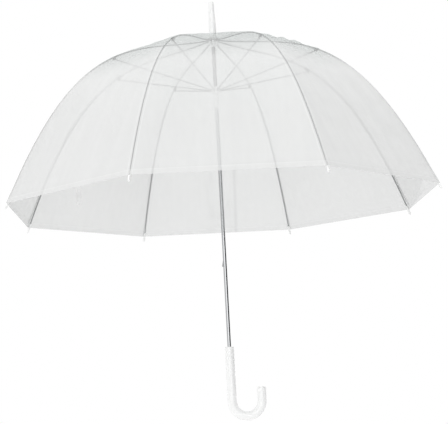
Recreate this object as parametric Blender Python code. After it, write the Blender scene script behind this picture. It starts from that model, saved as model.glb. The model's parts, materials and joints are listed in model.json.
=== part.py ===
"""Clear dome umbrella, open: eight spring ribs on a steel stick with a crook handle.

Lengths are in metres and +Z points up the stick. The origin is on the stick's axis at the
middle of the handle's straight grip. Eight rib bays repeat round the stick, and a shape that
repeats is drawn once, radius along X and height along Z, and then turned to its bay.
"""

import math

import bmesh
import bpy
from mathutils import Vector
from mathutils.geometry import interpolate_bezier

MM = 0.001

# The canopy's frame, which sets every other place.
BAYS = 8
BAY_ANGLE = 2 * math.pi / BAYS
TIP_RADIUS = 468 * MM
HEM_HEIGHT = 340 * MM
NOTCH_PIVOT = Vector((8.6 * MM, 0, 714 * MM))
RUNNER_PIVOT = Vector((8.6 * MM, 0, 604.4 * MM))
JOINT_RADIUS = 228.6 * MM
RUNNER_TRAVEL = 343 * MM

# One rib's centre line is a cubic curve from the notch to the tip of its cap.
RIB_START_ANGLE = math.radians(-14.7)
RIB_START_PULL = 0.3475 * TIP_RADIUS
RIB_END_LEAN = math.radians(23.1)
RIB_END_PULL = 0.922 * TIP_RADIUS
RIB_STEPS = 240
RIB_WIRE = 1.25 * MM
STRETCHER_WIRE = 1.2 * MM
EYE_THICKNESS = 1.8 * MM
EYE_RADIUS = 1.9 * MM
LINK_END_RADIUS = 1.4 * MM
RIVET_RADIUS = 0.7 * MM
HINGE_PLAY = 0.1 * MM

# The stick and what is fixed on it.
SHAFT_RADIUS = 4 * MM
SHAFT_WALL = 0.6 * MM
SHAFT_BOTTOM = 14 * MM
SHAFT_TOP = 745 * MM
FIT = 0.15 * MM
GAP = 0.3 * MM
HANDLE_RADIUS = 9.5 * MM
HANDLE_TOP = 56 * MM
CROOK_CENTRE = -57 * MM
CROOK_RADIUS = 31 * MM
CROOK_END = -29 * MM
END_ROUND = 1.6 * MM
NOTCH_RADIUS = 10.5 * MM
NOTCH_TOP = 718 * MM
NOTCH_BOTTOM = 707.5 * MM
NOTCH_FOOT = 700 * MM
NOTCH_WIRE = 0.4 * MM
WASHER_RADIUS = 12 * MM
WASHER_BOTTOM = NOTCH_TOP + 0.6 * MM
WASHER_TOP = WASHER_BOTTOM + 1.8 * MM
FERRULE_BOTTOM = WASHER_TOP + GAP
FERRULE_TOP = 802 * MM
FERRULE_BASE_RADIUS = 8.5 * MM
FERRULE_END_RADIUS = 6 * MM
STOP_HEIGHT = 669 * MM
STOP_RADIUS = 1 * MM
STOP_REACH = 5.6 * MM
ANCHOR_HEIGHT = 300 * MM
ANCHOR_RADIUS = 0.8 * MM
SLOT_WIDTH = 3 * MM

# The runner, measured from its pivots.
RUNNER_BORE = SHAFT_RADIUS + GAP
RUNNER_SLEEVE = 6.4 * MM
RUNNER_COLLAR = 7 * MM
RUNNER_FLANGE = 10.5 * MM
FLANGE_UP = 4.5 * MM
FLANGE_DOWN = 5.5 * MM
SLEEVE_UP = 8 * MM
SLEEVE_DOWN = 40 * MM
COLLAR_HEIGHT = 6 * MM
WINDOW_TOP = 14 * MM
WINDOW_BOTTOM = 37.4 * MM
WINDOW_WIDTH = 4 * MM

# The two spring catches.
CATCH_REACH = 6 * MM
CATCH_THICKNESS = 1.8 * MM
CATCH_SLOT = 2.4 * MM
LEAF_OUTER = 3.05 * MM
LEAF_INNER = 2.55 * MM
TOP_CATCH = RUNNER_PIVOT.z - WINDOW_TOP - GAP
BOTTOM_CATCH = RUNNER_PIVOT.z - RUNNER_TRAVEL - WINDOW_BOTTOM + GAP
RAMP_LENGTH = 17 * MM
TOP_LEAF_END = 545 * MM

# The film canopy, its tip caps and its strap.
FILM_LIFT = RIB_WIRE + 0.8 * MM
FILM_THICKNESS = 0.3 * MM
FILM_START = 11.2 * MM
CROWN_STEPS = 8
SKIRT_STEPS = 12
CAP_LENGTH = 22 * MM
CAP_RADIUS = 2.3 * MM
CAP_BORE_DEPTH = 14.3 * MM
CAP_PROUD = 12 * MM
STRAP_BAY = 5
STRAP_OFFSET = 30 * MM
STRAP_WIDTH = 14 * MM
STRAP_LENGTH = 36 * MM
STRAP_THICKNESS = 0.5 * MM

# Sides of the round pieces.
FINE = 28
COARSE = 8
CROOK_STEPS = 16

WHITE_PLASTIC = ((0.86, 0.87, 0.86), 0.35, 0.0)
CHROME = ((0.72, 0.73, 0.74), 0.15, 1.0)
DARK_STEEL = ((0.18, 0.18, 0.19), 0.4, 1.0)
CLEAR_FILM = ((0.9, 0.93, 0.92), 0.1, 0.0)


def clear_scene():
    for obj in list(bpy.data.objects):
        bpy.data.objects.remove(obj)


def make_material(name, look):
    colour, roughness, metallic = look
    material = bpy.data.materials.new(name)
    material.use_nodes = True
    shader = material.node_tree.nodes["Principled BSDF"]
    shader.inputs["Base Color"].default_value = (*colour, 1)
    shader.inputs["Roughness"].default_value = roughness
    shader.inputs["Metallic"].default_value = metallic
    return material


def build_mesh(points, faces, smooth=True):
    """A mesh with its faces turned outwards, smooth but for its sharp edges."""
    mesh = bpy.data.meshes.new("shape")
    mesh.from_pydata([tuple(point) for point in points], [], faces)
    shell = bmesh.new()
    shell.from_mesh(mesh)
    bmesh.ops.recalc_face_normals(shell, faces=shell.faces)
    shell.to_mesh(mesh)
    shell.free()
    if smooth:
        mesh.shade_smooth()
        mesh.set_sharp_from_angle(angle=math.radians(40))
    return mesh


def place(name, mesh, look, location=(0, 0, 0), turn=0.0):
    obj = bpy.data.objects.new(name, mesh)
    obj.location = location
    obj.rotation_euler.z = turn
    bpy.context.scene.collection.objects.link(obj)
    if not mesh.materials:
        mesh.materials.append(make_material(name, look))
    return obj


def combine(base, *steps):
    """The base mesh after each (operation, mesh) Boolean step."""
    holder = bpy.data.objects.new("working", base)
    bpy.context.scene.collection.objects.link(holder)
    tools = []
    for operation, mesh in steps:
        tool = bpy.data.objects.new("tool", mesh)
        bpy.context.scene.collection.objects.link(tool)
        tools.append(tool)
        modifier = holder.modifiers.new(operation, "BOOLEAN")
        modifier.operation = operation
        modifier.object = tool
    graph = bpy.context.evaluated_depsgraph_get()
    result = bpy.data.meshes.new_from_object(holder.evaluated_get(graph))
    for obj in [holder, *tools]:
        bpy.data.objects.remove(obj)
    result.shade_smooth()
    result.set_sharp_from_angle(angle=math.radians(40))
    return result


def turned(outline, sides=FINE):
    """A closed outline of (radius, height) turned about Z. A radius of 0 is one point."""
    points = []
    rings = []
    for radius, height in outline:
        count = 1 if radius == 0 else sides
        rings.append([len(points) + k for k in range(count)])
        for k in range(count):
            angle = 2 * math.pi * k / sides
            points.append((radius * math.cos(angle), radius * math.sin(angle), height))
    faces = []
    for one, two in zip(rings, rings[1:] + rings[:1]):
        if len(one) == 1 and len(two) == 1:
            continue
        for k in range(sides):
            corners = [one[k % len(one)], two[k % len(two)]]
            corners += [two[(k + 1) % len(two)], one[(k + 1) % len(one)]]
            faces.append(list(dict.fromkeys(corners)))
    return build_mesh(points, faces)


def swept(path, radii, sides):
    """A round bar along a path in the XZ plane, with flat ends."""
    points = []
    for index, (centre, radius) in enumerate(zip(path, radii)):
        before = path[max(index - 1, 0)]
        after = path[min(index + 1, len(path) - 1)]
        along = (after - before).normalized()
        across = Vector((along.z, 0, -along.x))
        for k in range(sides):
            angle = 2 * math.pi * k / sides
            side = across * math.cos(angle) + Vector((0, math.sin(angle), 0))
            points.append(centre + side * radius)
    faces = [list(range(sides)), list(range(len(points) - sides, len(points)))]
    for ring in range(len(path) - 1):
        for k in range(sides):
            one = ring * sides + k
            two = ring * sides + (k + 1) % sides
            faces.append([one, two, two + sides, one + sides])
    return build_mesh(points, faces)


def plate(outline, thickness):
    """An outline of (x, z) points, thick along Y."""
    count = len(outline)
    points = [(x, y, z) for y in (-thickness / 2, thickness / 2) for x, z in outline]
    faces = [list(range(count)), list(range(count, 2 * count))]
    for k in range(count):
        after = (k + 1) % count
        faces.append([k, after, after + count, k + count])
    return build_mesh(points, faces)


def box(low, high):
    outline = [(low[0], low[2]), (high[0], low[2]), (high[0], high[2]), (low[0], high[2])]
    mesh = plate(outline, high[1] - low[1])
    for vertex in mesh.vertices:
        vertex.co.y += (low[1] + high[1]) / 2
    return mesh


def disc(centre, radius, thickness, sides=16):
    """A round plate in the XZ plane, thick along Y."""
    turns = [2 * math.pi * k / sides for k in range(sides)]
    outline = [(centre.x + radius * math.cos(a), centre.z + radius * math.sin(a)) for a in turns]
    return plate(outline, thickness)


def turned_to(mesh, angle):
    """The mesh turned about Z."""
    cosine, sine = math.cos(angle), math.sin(angle)
    for vertex in mesh.vertices:
        x, y = vertex.co.x, vertex.co.y
        vertex.co.x = x * cosine - y * sine
        vertex.co.y = x * sine + y * cosine
    return mesh


def moved(mesh, offset):
    for vertex in mesh.vertices:
        vertex.co += offset
    return mesh


def rib_line():
    """Points of one rib's centre line, from the notch pivot to the end of its cap."""
    tip = Vector((TIP_RADIUS, 0, HEM_HEIGHT))
    start = Vector((math.cos(RIB_START_ANGLE), 0, math.sin(RIB_START_ANGLE)))
    end = Vector((-math.sin(RIB_END_LEAN), 0, math.cos(RIB_END_LEAN)))
    first = NOTCH_PIVOT + start * RIB_START_PULL
    second = tip + end * RIB_END_PULL
    return interpolate_bezier(NOTCH_PIVOT, first, second, tip, RIB_STEPS)


def run_lengths(line):
    """The length run along a line at each of its points."""
    lengths = [0.0]
    for before, after in zip(line, line[1:]):
        lengths.append(lengths[-1] + (after - before).length)
    return lengths


def point_at(line, length):
    """The point and direction at this length along a line."""
    run = 0.0
    for before, after in zip(line, line[1:]):
        step = (after - before).length
        if run + step >= length:
            break
        run += step
    along = (after - before).normalized()
    return before + along * (length - run), along


def outward(along):
    """The film's side of a direction in the rib's plane."""
    return Vector((-along.z, 0, along.x))


LINE = rib_line()
RIB_LENGTH = run_lengths(LINE)[-1]
LINK_PIVOT = Vector((JOINT_RADIUS, 0, (NOTCH_PIVOT.z + RUNNER_PIVOT.z) / 2))
ELBOW_LENGTH = min(zip((abs(point.x - JOINT_RADIUS) for point in LINE), run_lengths(LINE)))[1]
ELBOW, ELBOW_ALONG = point_at(LINE, ELBOW_LENGTH)


def stations(start, end, count):
    """Points evenly spread along the rib line, from one length to another."""
    return [point_at(LINE, start + (end - start) * k / count)[0] for k in range(count + 1)]


def shaft_mesh():
    inner = SHAFT_RADIUS - SHAFT_WALL
    outline = [(SHAFT_RADIUS, SHAFT_TOP), (SHAFT_RADIUS, SHAFT_BOTTOM)]
    outline += [(inner, SHAFT_BOTTOM), (inner, SHAFT_TOP)]
    reach = SHAFT_RADIUS + 1 * MM
    half = CATCH_SLOT / 2
    top_slot = box(
        (-reach, -half, TOP_CATCH - RAMP_LENGTH - 1 * MM), (0, half, TOP_CATCH + 1.5 * MM)
    )
    bottom_slot = box(
        (-reach, -half, BOTTOM_CATCH - 1.5 * MM), (0, half, BOTTOM_CATCH + RAMP_LENGTH + 1 * MM)
    )
    stop_hole = cross_bar(STOP_RADIUS + HINGE_PLAY, reach, STOP_HEIGHT)
    anchor_hole = cross_bar(ANCHOR_RADIUS + HINGE_PLAY, reach, ANCHOR_HEIGHT, math.pi / 2)
    cuts = [top_slot, bottom_slot, stop_hole, anchor_hole]
    return combine(turned(outline), *[("DIFFERENCE", cut) for cut in cuts])


def cross_bar(radius, reach, height, turn=0.0):
    """A round bar across the stick, along X before its turn."""
    ends = [Vector((-reach, 0, height)), Vector((reach, 0, height))]
    return turned_to(swept(ends, [radius, radius], 12), turn)


def handle_mesh():
    path = [Vector((0, 0, HANDLE_TOP)), Vector((0, 0, HANDLE_TOP - END_ROUND))]
    for step in range(CROOK_STEPS + 1):
        angle = math.pi * step / CROOK_STEPS
        x = CROOK_RADIUS * (1 - math.cos(angle))
        path.append(Vector((x, 0, CROOK_CENTRE - CROOK_RADIUS * math.sin(angle))))
    path.append(Vector((2 * CROOK_RADIUS, 0, CROOK_END - END_ROUND)))
    path.append(Vector((2 * CROOK_RADIUS, 0, CROOK_END)))
    radii = [HANDLE_RADIUS] * len(path)
    radii[0] = radii[-1] = HANDLE_RADIUS - END_ROUND
    bore_radius = SHAFT_RADIUS + FIT
    floor = SHAFT_BOTTOM - GAP
    bore = [(0, HANDLE_TOP + 1 * MM), (bore_radius, HANDLE_TOP + 1 * MM), (bore_radius, floor), (0, floor)]
    return combine(swept(path, radii, FINE), ("DIFFERENCE", turned(bore)))


def ferrule_mesh():
    bore = SHAFT_RADIUS + FIT
    shoulder = FERRULE_TOP - 5 * MM
    outline = [(bore, SHAFT_TOP + GAP), (bore, FERRULE_BOTTOM)]
    outline += [(FERRULE_BASE_RADIUS - 0.5 * MM, FERRULE_BOTTOM)]
    outline += [(FERRULE_BASE_RADIUS, FERRULE_BOTTOM + 0.5 * MM)]
    outline += [(FERRULE_END_RADIUS, shoulder)]
    for step in range(1, 5):
        angle = step * math.pi / 2 / 5
        radius = 2.4 * MM + (FERRULE_END_RADIUS - 2.4 * MM) * math.cos(angle)
        outline.append((radius, shoulder + (FERRULE_TOP - shoulder) * math.sin(angle)))
    outline += [(2.4 * MM, FERRULE_TOP), (0, FERRULE_TOP), (0, SHAFT_TOP + GAP)]
    return turned(outline)


def notch_mesh():
    """The top notch: a hub whose slots and groove hold the rib eyes and their wire."""
    bore = SHAFT_RADIUS + FIT
    foot_radius = 5.8 * MM
    outline = [(bore, NOTCH_TOP), (bore, NOTCH_FOOT), (foot_radius, NOTCH_FOOT)]
    outline += [(foot_radius, NOTCH_BOTTOM), (NOTCH_RADIUS, NOTCH_BOTTOM)]
    outline += [(NOTCH_RADIUS, NOTCH_TOP - 0.6 * MM), (NOTCH_RADIUS - 0.6 * MM, NOTCH_TOP)]
    depth = NOTCH_PIVOT.x - 1.2 * MM
    play = 0.7 * MM
    low, high = NOTCH_PIVOT.z - play, NOTCH_PIVOT.z + play
    groove = [(depth, high), (depth, low), (NOTCH_RADIUS + MM, low), (NOTCH_RADIUS + MM, high)]
    slot_floor = NOTCH_PIVOT.x - EYE_RADIUS - GAP
    ceiling = NOTCH_PIVOT.z + EYE_RADIUS + GAP
    cuts = [turned(groove)]
    cuts += radial_slots(slot_floor, NOTCH_RADIUS + MM, NOTCH_BOTTOM - MM, ceiling)
    return combine(turned(outline), *[("DIFFERENCE", cut) for cut in cuts])


def radial_slots(inner, outer, low, high):
    """One slot for each rib, between two radii and two heights."""
    half = SLOT_WIDTH / 2
    slots = []
    for bay in range(BAYS):
        slot = box((inner, -half, low), (outer, half, high))
        slots.append(turned_to(slot, rib_angle(bay)))
    return slots


def rib_angle(bay):
    return (bay + 0.5) * BAY_ANGLE


def notch_wire_mesh():
    ring = []
    for step in range(8):
        angle = -2 * math.pi * step / 8
        radius = NOTCH_PIVOT.x + NOTCH_WIRE * math.cos(angle)
        ring.append((radius, NOTCH_PIVOT.z + NOTCH_WIRE * math.sin(angle)))
    return turned(ring, 32)


def washer_mesh():
    bore = SHAFT_RADIUS + FIT
    outline = [(bore, WASHER_TOP), (bore, WASHER_BOTTOM), (WASHER_RADIUS, WASHER_BOTTOM)]
    outline += [(WASHER_RADIUS, WASHER_TOP - 0.8 * MM), (WASHER_RADIUS - 1.2 * MM, WASHER_TOP)]
    return turned(outline)


def runner_mesh():
    """The runner: a sleeve with a slotted flange on top and a catch window in its side."""
    z = RUNNER_PIVOT.z
    bottom = z - SLEEVE_DOWN
    outline = [(RUNNER_BORE, z + SLEEVE_UP), (RUNNER_BORE, bottom), (RUNNER_COLLAR, bottom)]
    outline += [(RUNNER_COLLAR, bottom + COLLAR_HEIGHT)]
    outline += [(RUNNER_SLEEVE, bottom + COLLAR_HEIGHT + 1 * MM)]
    outline += [(RUNNER_SLEEVE, z - FLANGE_DOWN - 1.5 * MM), (RUNNER_FLANGE, z - FLANGE_DOWN)]
    outline += [(RUNNER_FLANGE, z + FLANGE_UP), (RUNNER_SLEEVE, z + FLANGE_UP + 0.8 * MM)]
    outline += [(RUNNER_SLEEVE, z + SLEEVE_UP)]
    floor = RUNNER_PIVOT.x - LINK_END_RADIUS - GAP
    cuts = radial_slots(floor, RUNNER_FLANGE + MM, z - 8 * MM, z + 7 * MM)
    half = WINDOW_WIDTH / 2
    reach = RUNNER_COLLAR + 1 * MM
    cuts.append(box((-reach, -half, z - WINDOW_BOTTOM), (0, half, z - WINDOW_TOP)))
    return combine(turned(outline), *[("DIFFERENCE", cut) for cut in cuts])


def catch_mesh(steep_end, leaf_end, way):
    """A flat spring inside the stick. Its nose is steep at one end and ramps down the other way."""
    tail = steep_end - way * 2.5 * MM
    outline = [(-LEAF_INNER, leaf_end), (-LEAF_OUTER, leaf_end)]
    outline += [(-LEAF_OUTER, steep_end + way * RAMP_LENGTH)]
    outline += [(-CATCH_REACH, steep_end + way * 2 * MM), (-CATCH_REACH, steep_end)]
    outline += [(-LEAF_OUTER, steep_end), (-LEAF_OUTER, tail), (-LEAF_INNER, tail)]
    return plate(outline, CATCH_THICKNESS)


def rib_inner_mesh():
    """The rib from its eye in the notch to the bracket that carries the stretcher."""
    bracket_start = 9 * MM
    bracket_end = 2.6 * MM
    path = stations(1.2 * MM, ELBOW_LENGTH - bracket_end - 1 * MM, 8)
    rod = swept(path, [RIB_WIRE] * len(path), COARSE)
    eye = disc(NOTCH_PIVOT, EYE_RADIUS, EYE_THICKNESS)
    hole = disc(NOTCH_PIVOT, NOTCH_WIRE + HINGE_PLAY, 4 * MM, 12)
    along, up = ELBOW_ALONG, outward(ELBOW_ALONG)

    def corner(forward, rise):
        point = ELBOW + along * forward + up * rise
        return point.x, point.z

    low = -1.7 * MM
    drop = (LINK_PIVOT - ELBOW).dot(up) - 2 * MM
    block = plate(
        [corner(-bracket_start, low), corner(-bracket_end, low)]
        + [corner(-bracket_end, MM), corner(-bracket_start, MM)],
        4.8 * MM,
    )
    cheek_outline = [corner(-bracket_end - MM, MM), corner(-bracket_end - MM, drop)]
    cheek_outline += [corner(bracket_end, drop), corner(bracket_end, MM)]
    cheeks = [moved(plate(cheek_outline, 0.8 * MM), Vector((0, y * MM, 0))) for y in (-2, 2)]
    rivet = disc(LINK_PIVOT, RIVET_RADIUS, 5.4 * MM, 12)
    joined = [("UNION", mesh) for mesh in [eye, block, *cheeks, rivet]]
    return moved(combine(rod, *joined, ("DIFFERENCE", hole)), -NOTCH_PIVOT)


def rib_outer_mesh():
    """The rib from its bracket to its end inside the cap, on the elbow's axis."""
    base, along = cap_seat()
    path = stations(ELBOW_LENGTH, RIB_LENGTH - CAP_LENGTH, 12)
    path.append(base + along * (CAP_BORE_DEPTH - GAP))
    rounding = ELBOW - ELBOW_ALONG * RIB_WIRE * 0.7
    radii = [0.7 * RIB_WIRE] + [RIB_WIRE] * len(path)
    return moved(swept([rounding, *path], radii, COARSE), -ELBOW)


def cap_seat():
    """Where the tip cap starts, and which way it points."""
    base = point_at(LINE, RIB_LENGTH - CAP_LENGTH)[0]
    return base, (LINE[-1] - base).normalized()


def cap_mesh():
    """A tip cap, its open end at the origin and its length along Z."""
    bore = RIB_WIRE + FIT
    dome = CAP_LENGTH - 2 * MM
    outline = [(bore, CAP_BORE_DEPTH), (bore, 0), (CAP_RADIUS - 0.4 * MM, 0)]
    outline += [(CAP_RADIUS, 0.6 * MM), (CAP_RADIUS, dome), (0.7 * CAP_RADIUS, CAP_LENGTH - 0.5 * MM)]
    outline += [(0, CAP_LENGTH), (0, CAP_BORE_DEPTH)]
    return turned(outline, 12)


def stretcher_mesh():
    """A straight stay from the bracket's rivet down to the runner."""
    along = (RUNNER_PIVOT - LINK_PIVOT).normalized()
    path = [LINK_PIVOT + along * 1.3 * MM, RUNNER_PIVOT - along * 0.8 * MM]
    rod = swept(path, [STRETCHER_WIRE] * 2, COARSE)
    eye = disc(LINK_PIVOT, EYE_RADIUS, EYE_THICKNESS)
    foot = disc(RUNNER_PIVOT, LINK_END_RADIUS, EYE_THICKNESS)
    hole = disc(LINK_PIVOT, RIVET_RADIUS + HINGE_PLAY, 4 * MM, 12)
    steps = [("UNION", eye), ("UNION", foot), ("DIFFERENCE", hole)]
    return moved(combine(rod, *steps), -LINK_PIVOT)


def film_profile(start, end, count, first_lift, last_lift):
    """Points of the film over a rib, from one length to another, with their outward directions."""
    profile = []
    for k in range(count + 1):
        point, along = point_at(LINE, start + (end - start) * k / count)
        lift = first_lift + (last_lift - first_lift) * k / count
        profile.append((point + outward(along) * lift, outward(along)))
    return profile


def gore_mesh(profile, origin):
    """One film panel between two ribs, radius at mid bay along X, measured from its joint axis."""
    half = BAY_ANGLE / 2
    points = []
    for side in (-1, 1):
        for layer in (0, FILM_THICKNESS):
            for point, out in profile:
                spot = point + out * layer
                width = spot.x * math.sin(half) - GAP / 2
                points.append(Vector((spot.x * math.cos(half), side * width, spot.z)) - origin)
    count = len(profile)
    faces = []
    for k in range(count - 1):
        for one, two in ((0, 1), (2, 3), (0, 2), (1, 3)):
            a, b = one * count + k, two * count + k
            faces.append([a, a + 1, b + 1, b])
    for k in (0, count - 1):
        faces.append([k, k + count, k + 3 * count, k + 2 * count])
    return build_mesh(points, faces, smooth=False)


def crown_start():
    return (FILM_START - NOTCH_PIVOT.x) / math.cos(RIB_START_ANGLE)


def add_stick():
    place("shaft", shaft_mesh(), CHROME)
    place("handle", handle_mesh(), WHITE_PLASTIC)
    place("ferrule", ferrule_mesh(), WHITE_PLASTIC)
    place("notch", notch_mesh(), WHITE_PLASTIC)
    place("notch_wire", notch_wire_mesh(), DARK_STEEL)
    place("crown_washer", washer_mesh(), WHITE_PLASTIC)
    place("stop_pin", cross_bar(STOP_RADIUS, STOP_REACH, STOP_HEIGHT), CHROME)
    reach = SHAFT_RADIUS + FIT
    anchor = cross_bar(ANCHOR_RADIUS, reach, ANCHOR_HEIGHT, math.pi / 2)
    place("spring_pin", anchor, DARK_STEEL)


def add_runner_and_catches():
    runner = moved(runner_mesh(), Vector((0, 0, -RUNNER_PIVOT.z)))
    place("runner", runner, WHITE_PLASTIC, (0, 0, RUNNER_PIVOT.z))
    for name, steep, leaf, way in (
        ("top_spring", TOP_CATCH, TOP_LEAF_END, -1),
        ("bottom_spring", BOTTOM_CATCH, ANCHOR_HEIGHT - 3 * MM, 1),
    ):
        pivot = Vector((-LEAF_INNER, 0, leaf))
        place(name, moved(catch_mesh(steep, leaf, way), -pivot), CHROME, pivot)


def spun(point, angle):
    """Where a point of the drawn bay lies after its turn about the stick."""
    return Vector((point.x * math.cos(angle), point.x * math.sin(angle), point.z))


def add_ribs():
    inner, outer = rib_inner_mesh(), rib_outer_mesh()
    stretcher, cap = stretcher_mesh(), cap_mesh()
    base, along = cap_seat()
    lean = math.atan2(along.x, along.z)
    for bay in range(BAYS):
        angle = rib_angle(bay)
        place(f"rib_{bay + 1}", inner, DARK_STEEL, spun(NOTCH_PIVOT, angle), angle)
        place(f"rib_outer_{bay + 1}", outer, DARK_STEEL, spun(ELBOW, angle), angle)
        place(f"stretcher_{bay + 1}", stretcher, DARK_STEEL, spun(LINK_PIVOT, angle), angle)
        tip = place(f"rib_cap_{bay + 1}", cap, WHITE_PLASTIC, spun(base, angle), angle)
        tip.rotation_euler.y = lean


def add_canopy():
    """Crown and skirt panels, each on the axis it folds about, half a bay on from a rib."""
    cosine = math.cos(BAY_ANGLE / 2)
    crown_axis = Vector((NOTCH_PIVOT.x * cosine, 0, NOTCH_PIVOT.z))
    skirt_axis = Vector((ELBOW.x * cosine, 0, ELBOW.z))
    seam = ELBOW_LENGTH
    crown_profile = film_profile(crown_start(), seam - GAP, CROWN_STEPS, FILM_LIFT, FILM_LIFT)
    cap_lift = CAP_RADIUS + 0.7 * MM
    skirt_profile = film_profile(seam, RIB_LENGTH - CAP_PROUD, SKIRT_STEPS, FILM_LIFT, cap_lift)
    crown = gore_mesh(crown_profile, crown_axis)
    skirt = gore_mesh(skirt_profile, skirt_axis)
    for bay in range(BAYS):
        angle = (bay + 1) * BAY_ANGLE
        place(f"crown_panel_{bay + 1}", crown, CLEAR_FILM, spun(crown_axis, angle), angle)
        place(f"skirt_panel_{bay + 1}", skirt, CLEAR_FILM, spun(skirt_axis, angle), angle)
    add_strap(skirt_profile[-1][0])


def add_strap(hem):
    """The closing strap hangs from the hem of one panel."""
    x = hem.x * math.cos(BAY_ANGLE / 2)
    top = hem.z - GAP
    low = (x - STRAP_THICKNESS, STRAP_OFFSET, top - STRAP_LENGTH)
    strap = box(low, (x, STRAP_OFFSET + STRAP_WIDTH, top))
    place("closing_strap", strap, CLEAR_FILM, turn=STRAP_BAY * BAY_ANGLE)


clear_scene()
add_stick()
add_runner_and_catches()
add_ribs()
add_canopy()
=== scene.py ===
"""The look of the clear dome umbrella: its film canopy, strap and materials, lit in a white studio."""

import json
import math

import bmesh
import bpy
from mathutils import Matrix, Vector, noise
from mathutils.geometry import interpolate_bezier


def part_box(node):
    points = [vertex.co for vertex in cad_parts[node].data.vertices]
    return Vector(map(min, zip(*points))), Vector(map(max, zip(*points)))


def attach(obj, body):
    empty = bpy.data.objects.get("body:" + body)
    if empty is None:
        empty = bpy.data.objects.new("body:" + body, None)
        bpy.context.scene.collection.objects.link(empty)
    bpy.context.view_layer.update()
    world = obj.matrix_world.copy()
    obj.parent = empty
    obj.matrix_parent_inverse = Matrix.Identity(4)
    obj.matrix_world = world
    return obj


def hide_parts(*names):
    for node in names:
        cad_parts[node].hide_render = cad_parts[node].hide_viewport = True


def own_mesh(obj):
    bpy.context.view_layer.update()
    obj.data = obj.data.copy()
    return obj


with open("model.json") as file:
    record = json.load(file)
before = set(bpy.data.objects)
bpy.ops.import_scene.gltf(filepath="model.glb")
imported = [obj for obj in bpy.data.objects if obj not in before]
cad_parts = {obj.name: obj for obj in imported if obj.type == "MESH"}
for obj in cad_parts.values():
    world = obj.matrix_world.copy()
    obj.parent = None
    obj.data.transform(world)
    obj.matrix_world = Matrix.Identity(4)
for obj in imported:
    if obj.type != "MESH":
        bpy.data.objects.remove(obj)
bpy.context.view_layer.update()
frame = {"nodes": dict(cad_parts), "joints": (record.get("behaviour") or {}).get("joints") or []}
MM = 0.001

# The frame's own places, read from its joints.
JOINTS = {joint["name"]: joint for joint in frame["joints"]}
BAYS = 8
BAY_ANGLE = 2 * math.pi / BAYS
HALF_BAY = BAY_ANGLE / 2


def in_rib_plane(name):
    """A hinge's place as (radius, 0, height)."""
    x, y, z = JOINTS[name]["pos_m"]
    return Vector((math.hypot(x, y), 0, z))


NOTCH = in_rib_plane("rib_hinge_1")
ELBOW = in_rib_plane("rib_flex_1")

# One rib's centre line, as the frame has it.
TIP = Vector((468 * MM, 0, 340 * MM))
RIB_START_ANGLE = math.radians(-14.7)
RIB_START_PULL = 0.3475 * TIP.x
RIB_END_LEAN = math.radians(23.1)
RIB_END_PULL = 0.922 * TIP.x
RIB_STEPS = 240

# How far the film stands off a rib's centre line: along the rib, at its cap, and at the crown.
FILM_LIFT = 1.75 * MM
CAP_LIFT = 2.75 * MM
CROWN_LIFT = 5.0 * MM
CROWN_RUN = 24 * MM
CAP_RISE_FROM = 40 * MM
CAP_RISE_TO = 12 * MM

# The film's edges: its radius under the washer, and how far the rib's end stands past the hem.
FILM_START = 10.9 * MM
CAP_PROUD = 12 * MM

# The film's mesh.
CROWN_ROWS = 40
SKIRT_ROWS = 70
COLUMNS = 28

# How the film hangs between its ribs: a sag, and waves that are strongest near the elbow, where
# the rib bends at its bracket. Each bay is as loose as usual, unless it is listed.
SAG = 7 * MM
HEM_TAUT = 120 * MM
CROWN_TAUT = 160 * MM
SAG_FROM_ELBOW = 90 * MM
NEAR_ELBOW = 55 * MM
WAVE_DEPTH = 2.2 * MM
FOLD_DEPTH = 2.8 * MM
USUAL_LOOSENESS = 0.45
LOOSER_BAYS = {6: 0.7, 7: 1.5, 8: 1.2}

# The film's look. A painted reflection of the shaft, a darker band in the film's colour, is in bay 2,
# 47 mm from its middle.
SHAFT_REFLECTION = 2 - 47 * MM
SHAFT_REFLECTION_WIDTH = 7 * MM
SEAM_BAND = 5.5 * MM
SEAM_LINE = 1.6 * MM
HEM_BAND = 11 * MM
HEM_LINE = 1.2 * MM
WELD_EDGE = 0.8 * MM
RIB_SHOWS_FROM = 1.0 * MM
RIB_SHOWS_TO = 2.5 * MM
CROWN_FADE = 120 * MM
FILM_HAZE = 0.62
HAZE_SPREAD = 0.03
FILM_TINT = (0.905, 0.912, 0.91)
CROWN_TINT = (0.785, 0.81, 0.803)

# The closing strap, which hangs from the hem of the near left bay.
STRAP_BAY = 5
STRAP_WIDTH = 14 * MM
STRAP_LENGTH = 35 * MM
STRAP_OFFSET = 37 * MM
STRAP_CURL = 3 * MM
STRAP_BEHIND = 0.3 * MM
STRAP_GAP = 0.5 * MM
STRAP_STEPS = 12

# The height over which the tube's colour turns darker, just below the runner's top.
DARKER_ABOVE_RUNNER_FADE = 10 * MM


def rib_line():
    start = Vector((math.cos(RIB_START_ANGLE), 0, math.sin(RIB_START_ANGLE)))
    end = Vector((-math.sin(RIB_END_LEAN), 0, math.cos(RIB_END_LEAN)))
    first = NOTCH + start * RIB_START_PULL
    second = TIP + end * RIB_END_PULL
    return interpolate_bezier(NOTCH, first, second, TIP, RIB_STEPS)


LINE = rib_line()
RUNS = [0.0]
for before, after in zip(LINE, LINE[1:]):
    RUNS.append(RUNS[-1] + (after - before).length)
ELBOW_RUN = min(zip((abs(point.x - ELBOW.x) for point in LINE), RUNS))[1]
HEM_RUN = RUNS[-1] - CAP_PROUD
RUNNER_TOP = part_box("runner")[1].z
CROWN_START_RUN = (FILM_START - NOTCH.x) / math.cos(RIB_START_ANGLE)


def smooth(low, high, value):
    t = min(max((value - low) / (high - low), 0), 1)
    return t * t * (3 - 2 * t)


def rib_point(run):
    """The rib's centre and outward direction at a length along it."""
    for k in range(1, len(RUNS)):
        if RUNS[k] >= run:
            break
    before, after = LINE[k - 1], LINE[k]
    along = (after - before).normalized()
    return before + along * (run - RUNS[k - 1]), Vector((-along.z, 0, along.x))


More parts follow.
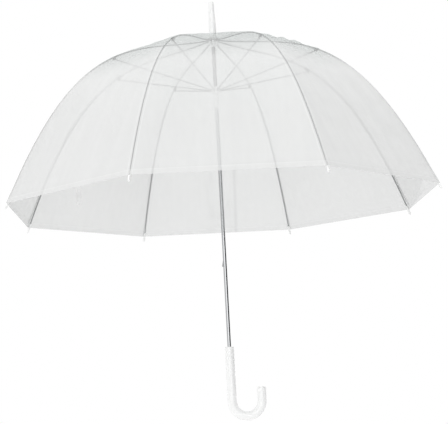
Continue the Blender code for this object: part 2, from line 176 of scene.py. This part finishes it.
def film_edge(run):
    """The film's point over a rib at this length along it."""
    point, out = rib_point(run)
    lift = FILM_LIFT + (CROWN_LIFT - FILM_LIFT) * (1 - smooth(0, CROWN_RUN, run - CROWN_START_RUN))
    lift += (CAP_LIFT - FILM_LIFT) * smooth(HEM_RUN - CAP_RISE_FROM, HEM_RUN - CAP_RISE_TO, run)
    return point + out * lift, out


# --- helpers ---------------------------------------------------------------------------------


def add_object(name, mesh):
    obj = bpy.data.objects.new(name, mesh)
    bpy.context.scene.collection.objects.link(obj)
    return obj


class Nodes:
    """A short way to write a shader's nodes."""

    def __init__(self, name):
        self.material = bpy.data.materials.new(name)
        self.material.use_nodes = True
        self.tree = self.material.node_tree
        self.shader = self.tree.nodes["Principled BSDF"]

    def add(self, kind, inputs=None, **settings):
        node = self.tree.nodes.new(kind)
        for key, value in settings.items():
            setattr(node, key, value)
        for key, value in (inputs or {}).items():
            self.feed(node, key, value)
        return node

    def feed(self, node, key, value):
        socket = node.inputs[key]
        if isinstance(value, bpy.types.NodeSocket):
            self.tree.links.new(value, socket)
        else:
            socket.default_value = value

    def math(self, operation, one, two=0.0):
        return self.add("ShaderNodeMath", {0: one, 1: two}, operation=operation).outputs[0]

    def span(self, value, low, high, to_low=0.0, to_high=1.0):
        """A smooth step from to_low to to_high, as the value goes from low to high."""
        inputs = {"Value": value, "From Min": low, "From Max": high}
        inputs |= {"To Min": to_low, "To Max": to_high}
        step = self.add("ShaderNodeMapRange", inputs, interpolation_type="SMOOTHSTEP")
        return step.outputs[0]

    def noise(self, scale, detail, stretch=(1, 1, 1), place=None):
        place = place or self.add("ShaderNodeTexCoord").outputs["Object"]
        mapping = self.add("ShaderNodeMapping", {"Vector": place, "Scale": stretch})
        inputs = {"Vector": mapping.outputs[0], "Scale": scale, "Detail": detail}
        return self.add("ShaderNodeTexNoise", inputs).outputs["Fac"]

    def colour(self, factor, one, two):
        """A mix of two colours, each given as three numbers or as a socket."""
        mix = self.add("ShaderNodeMix", {0: factor}, data_type="RGBA")
        for key, value in ((6, one), (7, two)):
            self.feed(mix, key, (*value, 1) if isinstance(value, tuple) else value)
        return mix.outputs[2]

    def set(self, **inputs):
        for key, value in inputs.items():
            self.feed(self.shader, key.replace("_", " "), value)

    def bump(self, height, strength, distance):
        inputs = {"Height": height, "Strength": strength, "Distance": distance}
        self.set(Normal=self.add("ShaderNodeBump", inputs).outputs[0])


# --- materials -------------------------------------------------------------------------------


def white_plastic(name):
    """Moulded white plastic: a soft gloss with the faint flow of the moulding."""
    nodes = Nodes(name)
    flow = nodes.noise(60, 4, (1, 1, 0.25))
    nodes.set(
        Base_Color=nodes.colour(flow, (0.9, 0.903, 0.9), (0.873, 0.876, 0.873)),
        Roughness=nodes.span(nodes.noise(220, 3), 0.3, 0.7, 0.26, 0.31),
        Coat_Weight=0.6,
        Coat_Roughness=0.12,
        Subsurface_Weight=0.05,
        Subsurface_Radius=(0.004, 0.004, 0.0038),
        Subsurface_Scale=1.0,
    )
    nodes.bump(nodes.noise(120, 2), 0.012, 0.2 * MM)
    return nodes.material


def chrome(name):
    """Plated tube: bright, with fine draw lines along it, and darker above the runner."""
    nodes = Nodes(name)
    lines = nodes.noise(900, 2, (1, 1, 0.02))
    place = nodes.add("ShaderNodeTexCoord").outputs["Object"]
    height = nodes.add("ShaderNodeSeparateXYZ", {0: place}).outputs[2]
    # The tube's colour turns darker above the runner's top.
    darker_above_runner = nodes.span(height, RUNNER_TOP - DARKER_ABOVE_RUNNER_FADE, RUNNER_TOP)
    plating = nodes.colour(nodes.noise(40, 3), (0.62, 0.63, 0.64), (0.56, 0.57, 0.58))
    nodes.set(
        Base_Color=nodes.colour(darker_above_runner, plating, (0.2, 0.205, 0.205)),
        Metallic=1.0,
        Roughness=nodes.span(lines, 0.3, 0.7, 0.08, 0.2),
    )
    nodes.bump(lines, 0.08, 0.05 * MM)
    return nodes.material


def dark_steel(name):
    """Grey lacquered spring wire."""
    nodes = Nodes(name)
    wear = nodes.noise(260, 4)
    nodes.set(
        Base_Color=nodes.colour(wear, (0.27, 0.28, 0.28), (0.35, 0.36, 0.36)),
        Metallic=0.6,
        Roughness=nodes.span(wear, 0.3, 0.7, 0.3, 0.45),
    )
    nodes.bump(nodes.noise(1500, 2), 0.1, 0.05 * MM)
    return nodes.material


def film(name):
    """Clear film: mostly see-through, with a gloss, and hazier along its welds.

    The welds map holds the distance from the seam and from the hem, and the gore map the place
    across and along the film, all in metres. The bay's number is added to the place across, so
    that no two bays have the same streaks.
    """
    nodes = Nodes(name)
    uv = nodes.add("ShaderNodeUVMap", uv_map="welds").outputs[0]
    parts = nodes.add("ShaderNodeSeparateXYZ", {0: uv})
    side, hem = parts.outputs[0], parts.outputs[1]

    def line(distance, middle, width):
        away = nodes.math("ABSOLUTE", nodes.math("SUBTRACT", distance, middle))
        return nodes.span(away, width, 0.0)

    hem_band = nodes.span(hem, HEM_BAND, HEM_BAND - WELD_EDGE)
    seam_line, hem_line = line(side, SEAM_BAND, SEAM_LINE), line(hem, HEM_BAND, HEM_LINE)
    lines = nodes.math("MAXIMUM", seam_line, hem_line)
    over_rib = nodes.span(side, RIB_SHOWS_TO, RIB_SHOWS_FROM)
    gore = nodes.add("ShaderNodeUVMap", uv_map="gore").outputs[0]
    place = nodes.add("ShaderNodeSeparateXYZ", {0: gore})
    sideways, along = place.outputs[0], place.outputs[1]
    crown = nodes.span(along, ELBOW_RUN + CROWN_FADE, ELBOW_RUN)
    streaks = nodes.noise(24, 2, (1, 0.12, 1), gore)
    haze = nodes.span(streaks, 0.3, 0.7, FILM_HAZE + HAZE_SPREAD, FILM_HAZE - HAZE_SPREAD)
    facing = nodes.add("ShaderNodeLayerWeight", {"Blend": 0.5}).outputs["Facing"]
    edge_on = nodes.math("MULTIPLY", facing, nodes.math("SUBTRACT", 1.0, crown))
    parts = (
        (hem_band, 0.04),
        (lines, 0.05),
        (over_rib, -0.25),
        (crown, -0.27),
        (edge_on, 0.25),
    )
    for part, amount in parts:
        haze = nodes.math("ADD", haze, nodes.math("MULTIPLY", part, amount))
    # A painted reflection of the shaft: the film's colour is darker along a band in bay 2.
    shaft_reflection = line(sideways, SHAFT_REFLECTION, SHAFT_REFLECTION_WIDTH)
    with_shaft_reflection = nodes.colour(shaft_reflection, (0.755, 0.757, 0.755), (0.66, 0.663, 0.66))
    nodes.set(
        Base_Color=nodes.colour(lines, with_shaft_reflection, (0.79, 0.793, 0.79)),
        Metallic=0.3,
        Roughness=nodes.span(nodes.noise(30, 3), 0.3, 0.7, 0.04, 0.10),
    )
    ripple = nodes.noise(26, 3, (1, 1, 0.6))
    nodes.bump(nodes.math("ADD", ripple, nodes.math("MULTIPLY", lines, 0.12)), 0.2, 1.2 * MM)
    tint = nodes.colour(crown, FILM_TINT, CROWN_TINT)
    clear = nodes.add("ShaderNodeBsdfTransparent", {"Color": tint}).outputs[0]
    mix = nodes.add("ShaderNodeMixShader", {0: haze, 1: clear, 2: nodes.shader.outputs[0]})
    nodes.feed(nodes.tree.nodes["Material Output"], "Surface", mix.outputs[0])
    return nodes.material


def dress_frame():
    """Gives each of the frame's visible nodes its material."""
    looks = {
        "white": white_plastic("white_moulding"),
        "chrome": chrome("plated_steel"),
        "steel": dark_steel("dark_wire"),
    }
    chromed = ("shaft", "stop_pin")
    white = ("handle", "ferrule", "notch", "crown_washer", "runner")
    for name, node in frame["nodes"].items():
        if name in chromed:
            look = "chrome"
        elif name in white or name.startswith("rib_cap"):
            look = "white"
        else:
            look = "steel"
        node.data.materials.clear()
        node.data.materials.append(looks[look])


# --- the canopy ------------------------------------------------------------------------------


def place_across(column):
    """A column's place across its bay, from -1 to 1, with the columns closer near the ribs."""
    return math.sin(math.pi / 2 * (2 * column / COLUMNS - 1))


def add_maps(mesh, maps):
    """UV maps, each given as its name and a place for every point."""
    for title, places in maps:
        layer = mesh.uv_layers.new(name=title)
        for loop in mesh.loops:
            layer.data[loop.index].uv = places[loop.vertex_index]


def panel_point(run, across, seed):
    """A point of a bay's film, with the bay's mid line in the XZ plane. The seed is its number."""
    edge, out = film_edge(run)
    spot = Vector((edge.x * math.cos(HALF_BAY), across * edge.x * math.sin(HALF_BAY), edge.z))
    outward = Vector((out.x * math.cos(HALF_BAY), 0, out.z)).normalized()
    middle = 1 - across * across
    low = smooth(0, 1, min((HEM_RUN - run) / HEM_TAUT, 1))
    high = smooth(CROWN_START_RUN, CROWN_START_RUN + CROWN_TAUT, run)
    sag = -SAG * middle * low * smooth(ELBOW_RUN, ELBOW_RUN + SAG_FROM_ELBOW, run)
    near_elbow = math.exp(-(((run - ELBOW_RUN) / NEAR_ELBOW) ** 2))
    rough = noise.noise(Vector((run * 22, across * 3.4, seed * 7.3))) * (0.5 + near_elbow)
    fold = noise.noise(Vector((run * 48, across * 2.2 + seed * 3.1, seed * 1.7))) * near_elbow
    wave = (rough * WAVE_DEPTH + fold * FOLD_DEPTH) * LOOSER_BAYS.get(seed, USUAL_LOOSENESS)
    return spot + outward * (sag + wave * smooth(0, 0.4, middle) * high * low)


def panel(name, first, last, rows, turn, seed):
    """A bay's film between two lengths along its ribs."""
    mesh = bpy.data.meshes.new(name)
    spin = Matrix.Rotation(turn, 3, "Z")
    points = []
    welds = []
    gore = []
    for row in range(rows + 1):
        run = first + (last - first) * row / rows
        width = film_edge(run)[0].x * math.sin(HALF_BAY)
        for column in range(COLUMNS + 1):
            across = place_across(column)
            points.append(spin @ panel_point(run, across, seed))
            welds.append(((1 - abs(across)) * width, HEM_RUN - run))
            gore.append((across * width + seed, run))
    faces = []
    for row in range(rows):
        for column in range(COLUMNS):
            corner = row * (COLUMNS + 1) + column
            faces.append([corner, corner + COLUMNS + 1, corner + COLUMNS + 2, corner + 1])
    mesh.from_pydata(points, [], faces)
    add_maps(mesh, (("welds", welds), ("gore", gore)))
    mesh.shade_smooth()
    mesh.normals_split_custom_set_from_vertices(panel_normals(first, last, rows, spin, seed))
    return add_object(name, mesh)


def panel_normals(first, last, rows, spin, seed):
    """The film's own normals, so that the crown and the skirt shade as one sheet."""
    step = 0.5 * MM
    normals = []
    for row in range(rows + 1):
        run = first + (last - first) * row / rows
        for column in range(COLUMNS + 1):
            across = place_across(column)
            down = panel_point(run + step, across, seed) - panel_point(run - step, across, seed)
            low, high = max(across - 0.01, -1), min(across + 0.01, 1)
            over = panel_point(run, high, seed) - panel_point(run, low, seed)
            normals.append(spin @ down.cross(over).normalized())
    return normals


def add_canopy(look):
    for bay in range(1, BAYS + 1):
        turn = bay * BAY_ANGLE
        for part, first, last, rows in (
            ("crown", CROWN_START_RUN, ELBOW_RUN, CROWN_ROWS),
            ("skirt", ELBOW_RUN, HEM_RUN, SKIRT_ROWS),
        ):
            piece = panel(f"{part}_film_{bay}", first, last, rows, turn, bay)
            piece.data.materials.append(look)
            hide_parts(f"{part}_panel_{bay}")
            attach(piece, f"{part}_panel_{bay}")
            width = 2 * film_edge(last)[0].x * math.sin(HALF_BAY)
            extras = [strap_piece(look, turn)] if part == "skirt" and bay == STRAP_BAY else []
            for each in [piece, *extras]:
                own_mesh(each)


def strap_piece(look, turn):
    """The strap's film, hanging from the hem with a slight curl and a rounded end."""
    mesh = bpy.data.meshes.new("strap_film")
    spin = Matrix.Rotation(turn, 3, "Z")
    hem = panel_point(HEM_RUN, 0, STRAP_BAY)
    points = []
    for step in range(STRAP_STEPS + 1):
        t = step / STRAP_STEPS
        drop = STRAP_GAP + STRAP_LENGTH * t
        inward = STRAP_BEHIND + STRAP_CURL * math.sin(math.pi * t)
        half = STRAP_WIDTH / 2 * math.sqrt(max(1 - max(t * 5 - 4, 0) ** 2, 0.02))
        for side in (-1, 1):
            y = STRAP_OFFSET + side * half
            points.append(spin @ Vector((hem.x - inward, y, hem.z - drop)))
    faces = [[2 * k, 2 * k + 1, 2 * k + 3, 2 * k + 2] for k in range(STRAP_STEPS)]
    mesh.from_pydata(points, [], faces)
    welds = [(2 * SEAM_BAND, 0)] * len(points)
    gore = [(0, HEM_RUN)] * len(points)
    add_maps(mesh, (("welds", welds), ("gore", gore)))
    mesh.shade_smooth()
    piece = add_object("strap_film", mesh)
    piece.data.materials.append(look)
    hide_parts("closing_strap")
    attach(piece, f"skirt_panel_{STRAP_BAY}")
    return piece


# --- the studio ------------------------------------------------------------------------------

# The camera looks along +Y, at the height of the rib tips, turned and tilted by these.
CAMERA_YAW = math.radians(2.15)
CAMERA_PITCH = math.radians(-8.36)
CAMERA_ROLL = math.radians(-3.05)
CAMERA_DISTANCE = 2.727
CAMERA_SHIFT = Vector((-3.83 * MM, 0, -0.44 * MM))
LENS = 103.6
FLOOR = -1.6
FLOOR_RADIUS = 60

# The room's brightness, and what each side of it is multiplied by.
ROOM_LIGHT = 0.99
CEILING_LIGHT = 1.2
DARK_RIGHT = 0.0
DARK_LEFT = 0.6
FRONT_LIGHT = 1.7


def add_camera():
    data = bpy.data.cameras.new("camera")
    data.lens = LENS
    data.sensor_width = 36
    data.clip_end = 100
    camera = bpy.data.objects.new("camera", data)
    bpy.context.scene.collection.objects.link(camera)
    turn = Matrix.Rotation(CAMERA_ROLL, 3, "Y") @ Matrix.Rotation(CAMERA_PITCH, 3, "X")
    turn = turn @ Matrix.Rotation(CAMERA_YAW, 3, "Z")
    back = turn.transposed()
    away = Vector((0, CAMERA_DISTANCE, 0)) + CAMERA_SHIFT
    place = Vector((0, 0, TIP.z)) - back @ away
    upright = back @ Matrix.Rotation(math.pi / 2, 3, "X")
    camera.matrix_world = Matrix.Translation(place) @ upright.to_4x4()
    bpy.context.scene.camera = camera


def add_world():
    """A white room, bright above and in front, dim at the sides, which gives metal its dark lines."""
    world = bpy.data.worlds.new("studio")
    bpy.context.scene.world = world
    world.use_nodes = True
    tree = world.node_tree
    tree.nodes.clear()
    new, link = tree.nodes.new, tree.links.new
    place = new("ShaderNodeTexCoord").outputs["Generated"]

    def lobe(direction, low, high, to_low, to_high):
        """A brightness that changes with the angle from a direction."""
        dot = new("ShaderNodeVectorMath")
        dot.operation = "DOT_PRODUCT"
        link(place, dot.inputs[0])
        dot.inputs[1].default_value = Vector(direction).normalized()
        span = new("ShaderNodeMapRange")
        span.interpolation_type = "SMOOTHSTEP"
        link(dot.outputs["Value"], span.inputs["Value"])
        values = {"From Min": low, "From Max": high, "To Min": to_low, "To Max": to_high}
        for key, value in values.items():
            span.inputs[key].default_value = value
        return span.outputs[0]

    total = lobe((0, -0.2, 1), 0.35, 0.9, ROOM_LIGHT, CEILING_LIGHT)
    for part in (
        lobe((0.93, -0.36, -0.05), 0.5, 0.9, 1.0, DARK_RIGHT),
        lobe((-0.95, -0.3, -0.05), 0.7, 0.98, 1.0, DARK_LEFT),
        lobe((-0.1, -1, 0), 0.78, 0.96, 1.0, FRONT_LIGHT),
    ):
        product = new("ShaderNodeMath")
        product.operation = "MULTIPLY"
        link(total, product.inputs[0])
        link(part, product.inputs[1])
        total = product.outputs[0]
    room = new("ShaderNodeBackground")
    room.inputs["Color"].default_value = (1, 1, 1, 1)
    link(total, room.inputs["Strength"])
    white = new("ShaderNodeBackground")
    white.inputs["Color"].default_value = (1, 1, 1, 1)
    white.inputs["Strength"].default_value = 1.0
    ray = new("ShaderNodeLightPath")
    mix = new("ShaderNodeMixShader")
    link(ray.outputs["Is Camera Ray"], mix.inputs[0])
    link(room.outputs[0], mix.inputs[1])
    link(white.outputs[0], mix.inputs[2])
    out = new("ShaderNodeOutputWorld")
    link(mix.outputs[0], out.inputs[0])


def add_light(name, place, aim, size, power):
    """A soft light that isn't mirrored, so that no panel shows a patch of glare."""
    data = bpy.data.lights.new(name, "AREA")
    data.size = size
    data.energy = power
    light = bpy.data.objects.new(name, data)
    bpy.context.scene.collection.objects.link(light)
    light.visible_glossy = False
    light.location = place
    light.rotation_euler = (Vector(aim) - Vector(place)).to_track_quat("-Z", "Y").to_euler()


def add_floor():
    """A plain pale floor, with a painted shadow that makes it a little darker under the umbrella,
    which the camera sees as white.
    """
    nodes = Nodes("pale_floor")
    place = nodes.add("ShaderNodeTexCoord").outputs["Object"]
    away = nodes.add("ShaderNodeVectorMath", {0: place}, operation="LENGTH").outputs["Value"]
    # A painted shadow: the floor's colour darkens within 1.8 m of its middle, under the umbrella.
    shadow_under_umbrella = nodes.span(away, 1.8, 0.5)
    nodes.set(
        Base_Color=nodes.colour(shadow_under_umbrella, (0.96, 0.96, 0.96), (0.92, 0.92, 0.92)),
        Roughness=0.9,
        Specular_IOR_Level=0.1,
    )
    glow = nodes.add("ShaderNodeEmission", {"Color": (1, 1, 1, 1), "Strength": 1.0}).outputs[0]
    seen = nodes.add("ShaderNodeLightPath").outputs["Is Camera Ray"]
    mix = nodes.add("ShaderNodeMixShader", {0: seen, 1: nodes.shader.outputs[0], 2: glow})
    nodes.feed(nodes.tree.nodes["Material Output"], "Surface", mix.outputs[0])
    mesh = bpy.data.meshes.new("floor")
    shell = bmesh.new()
    bmesh.ops.create_circle(shell, cap_ends=True, radius=FLOOR_RADIUS, segments=96)
    shell.to_mesh(mesh)
    shell.free()
    mesh.materials.append(nodes.material)
    floor = add_object("floor", mesh)
    floor.location.z = FLOOR


def add_studio():
    add_camera()
    add_world()
    add_floor()
    add_light("key", (-1.8, -2.4, 1.6), (0, 0, 0.3), 0.5, 9)
    add_light("fill", (2.2, -0.8, 2.3), (0, 0, 0.5), 1.5, 10)
    bpy.context.scene.view_settings.view_transform = "Standard"


dress_frame()
add_canopy(film("clear_film"))
add_studio()
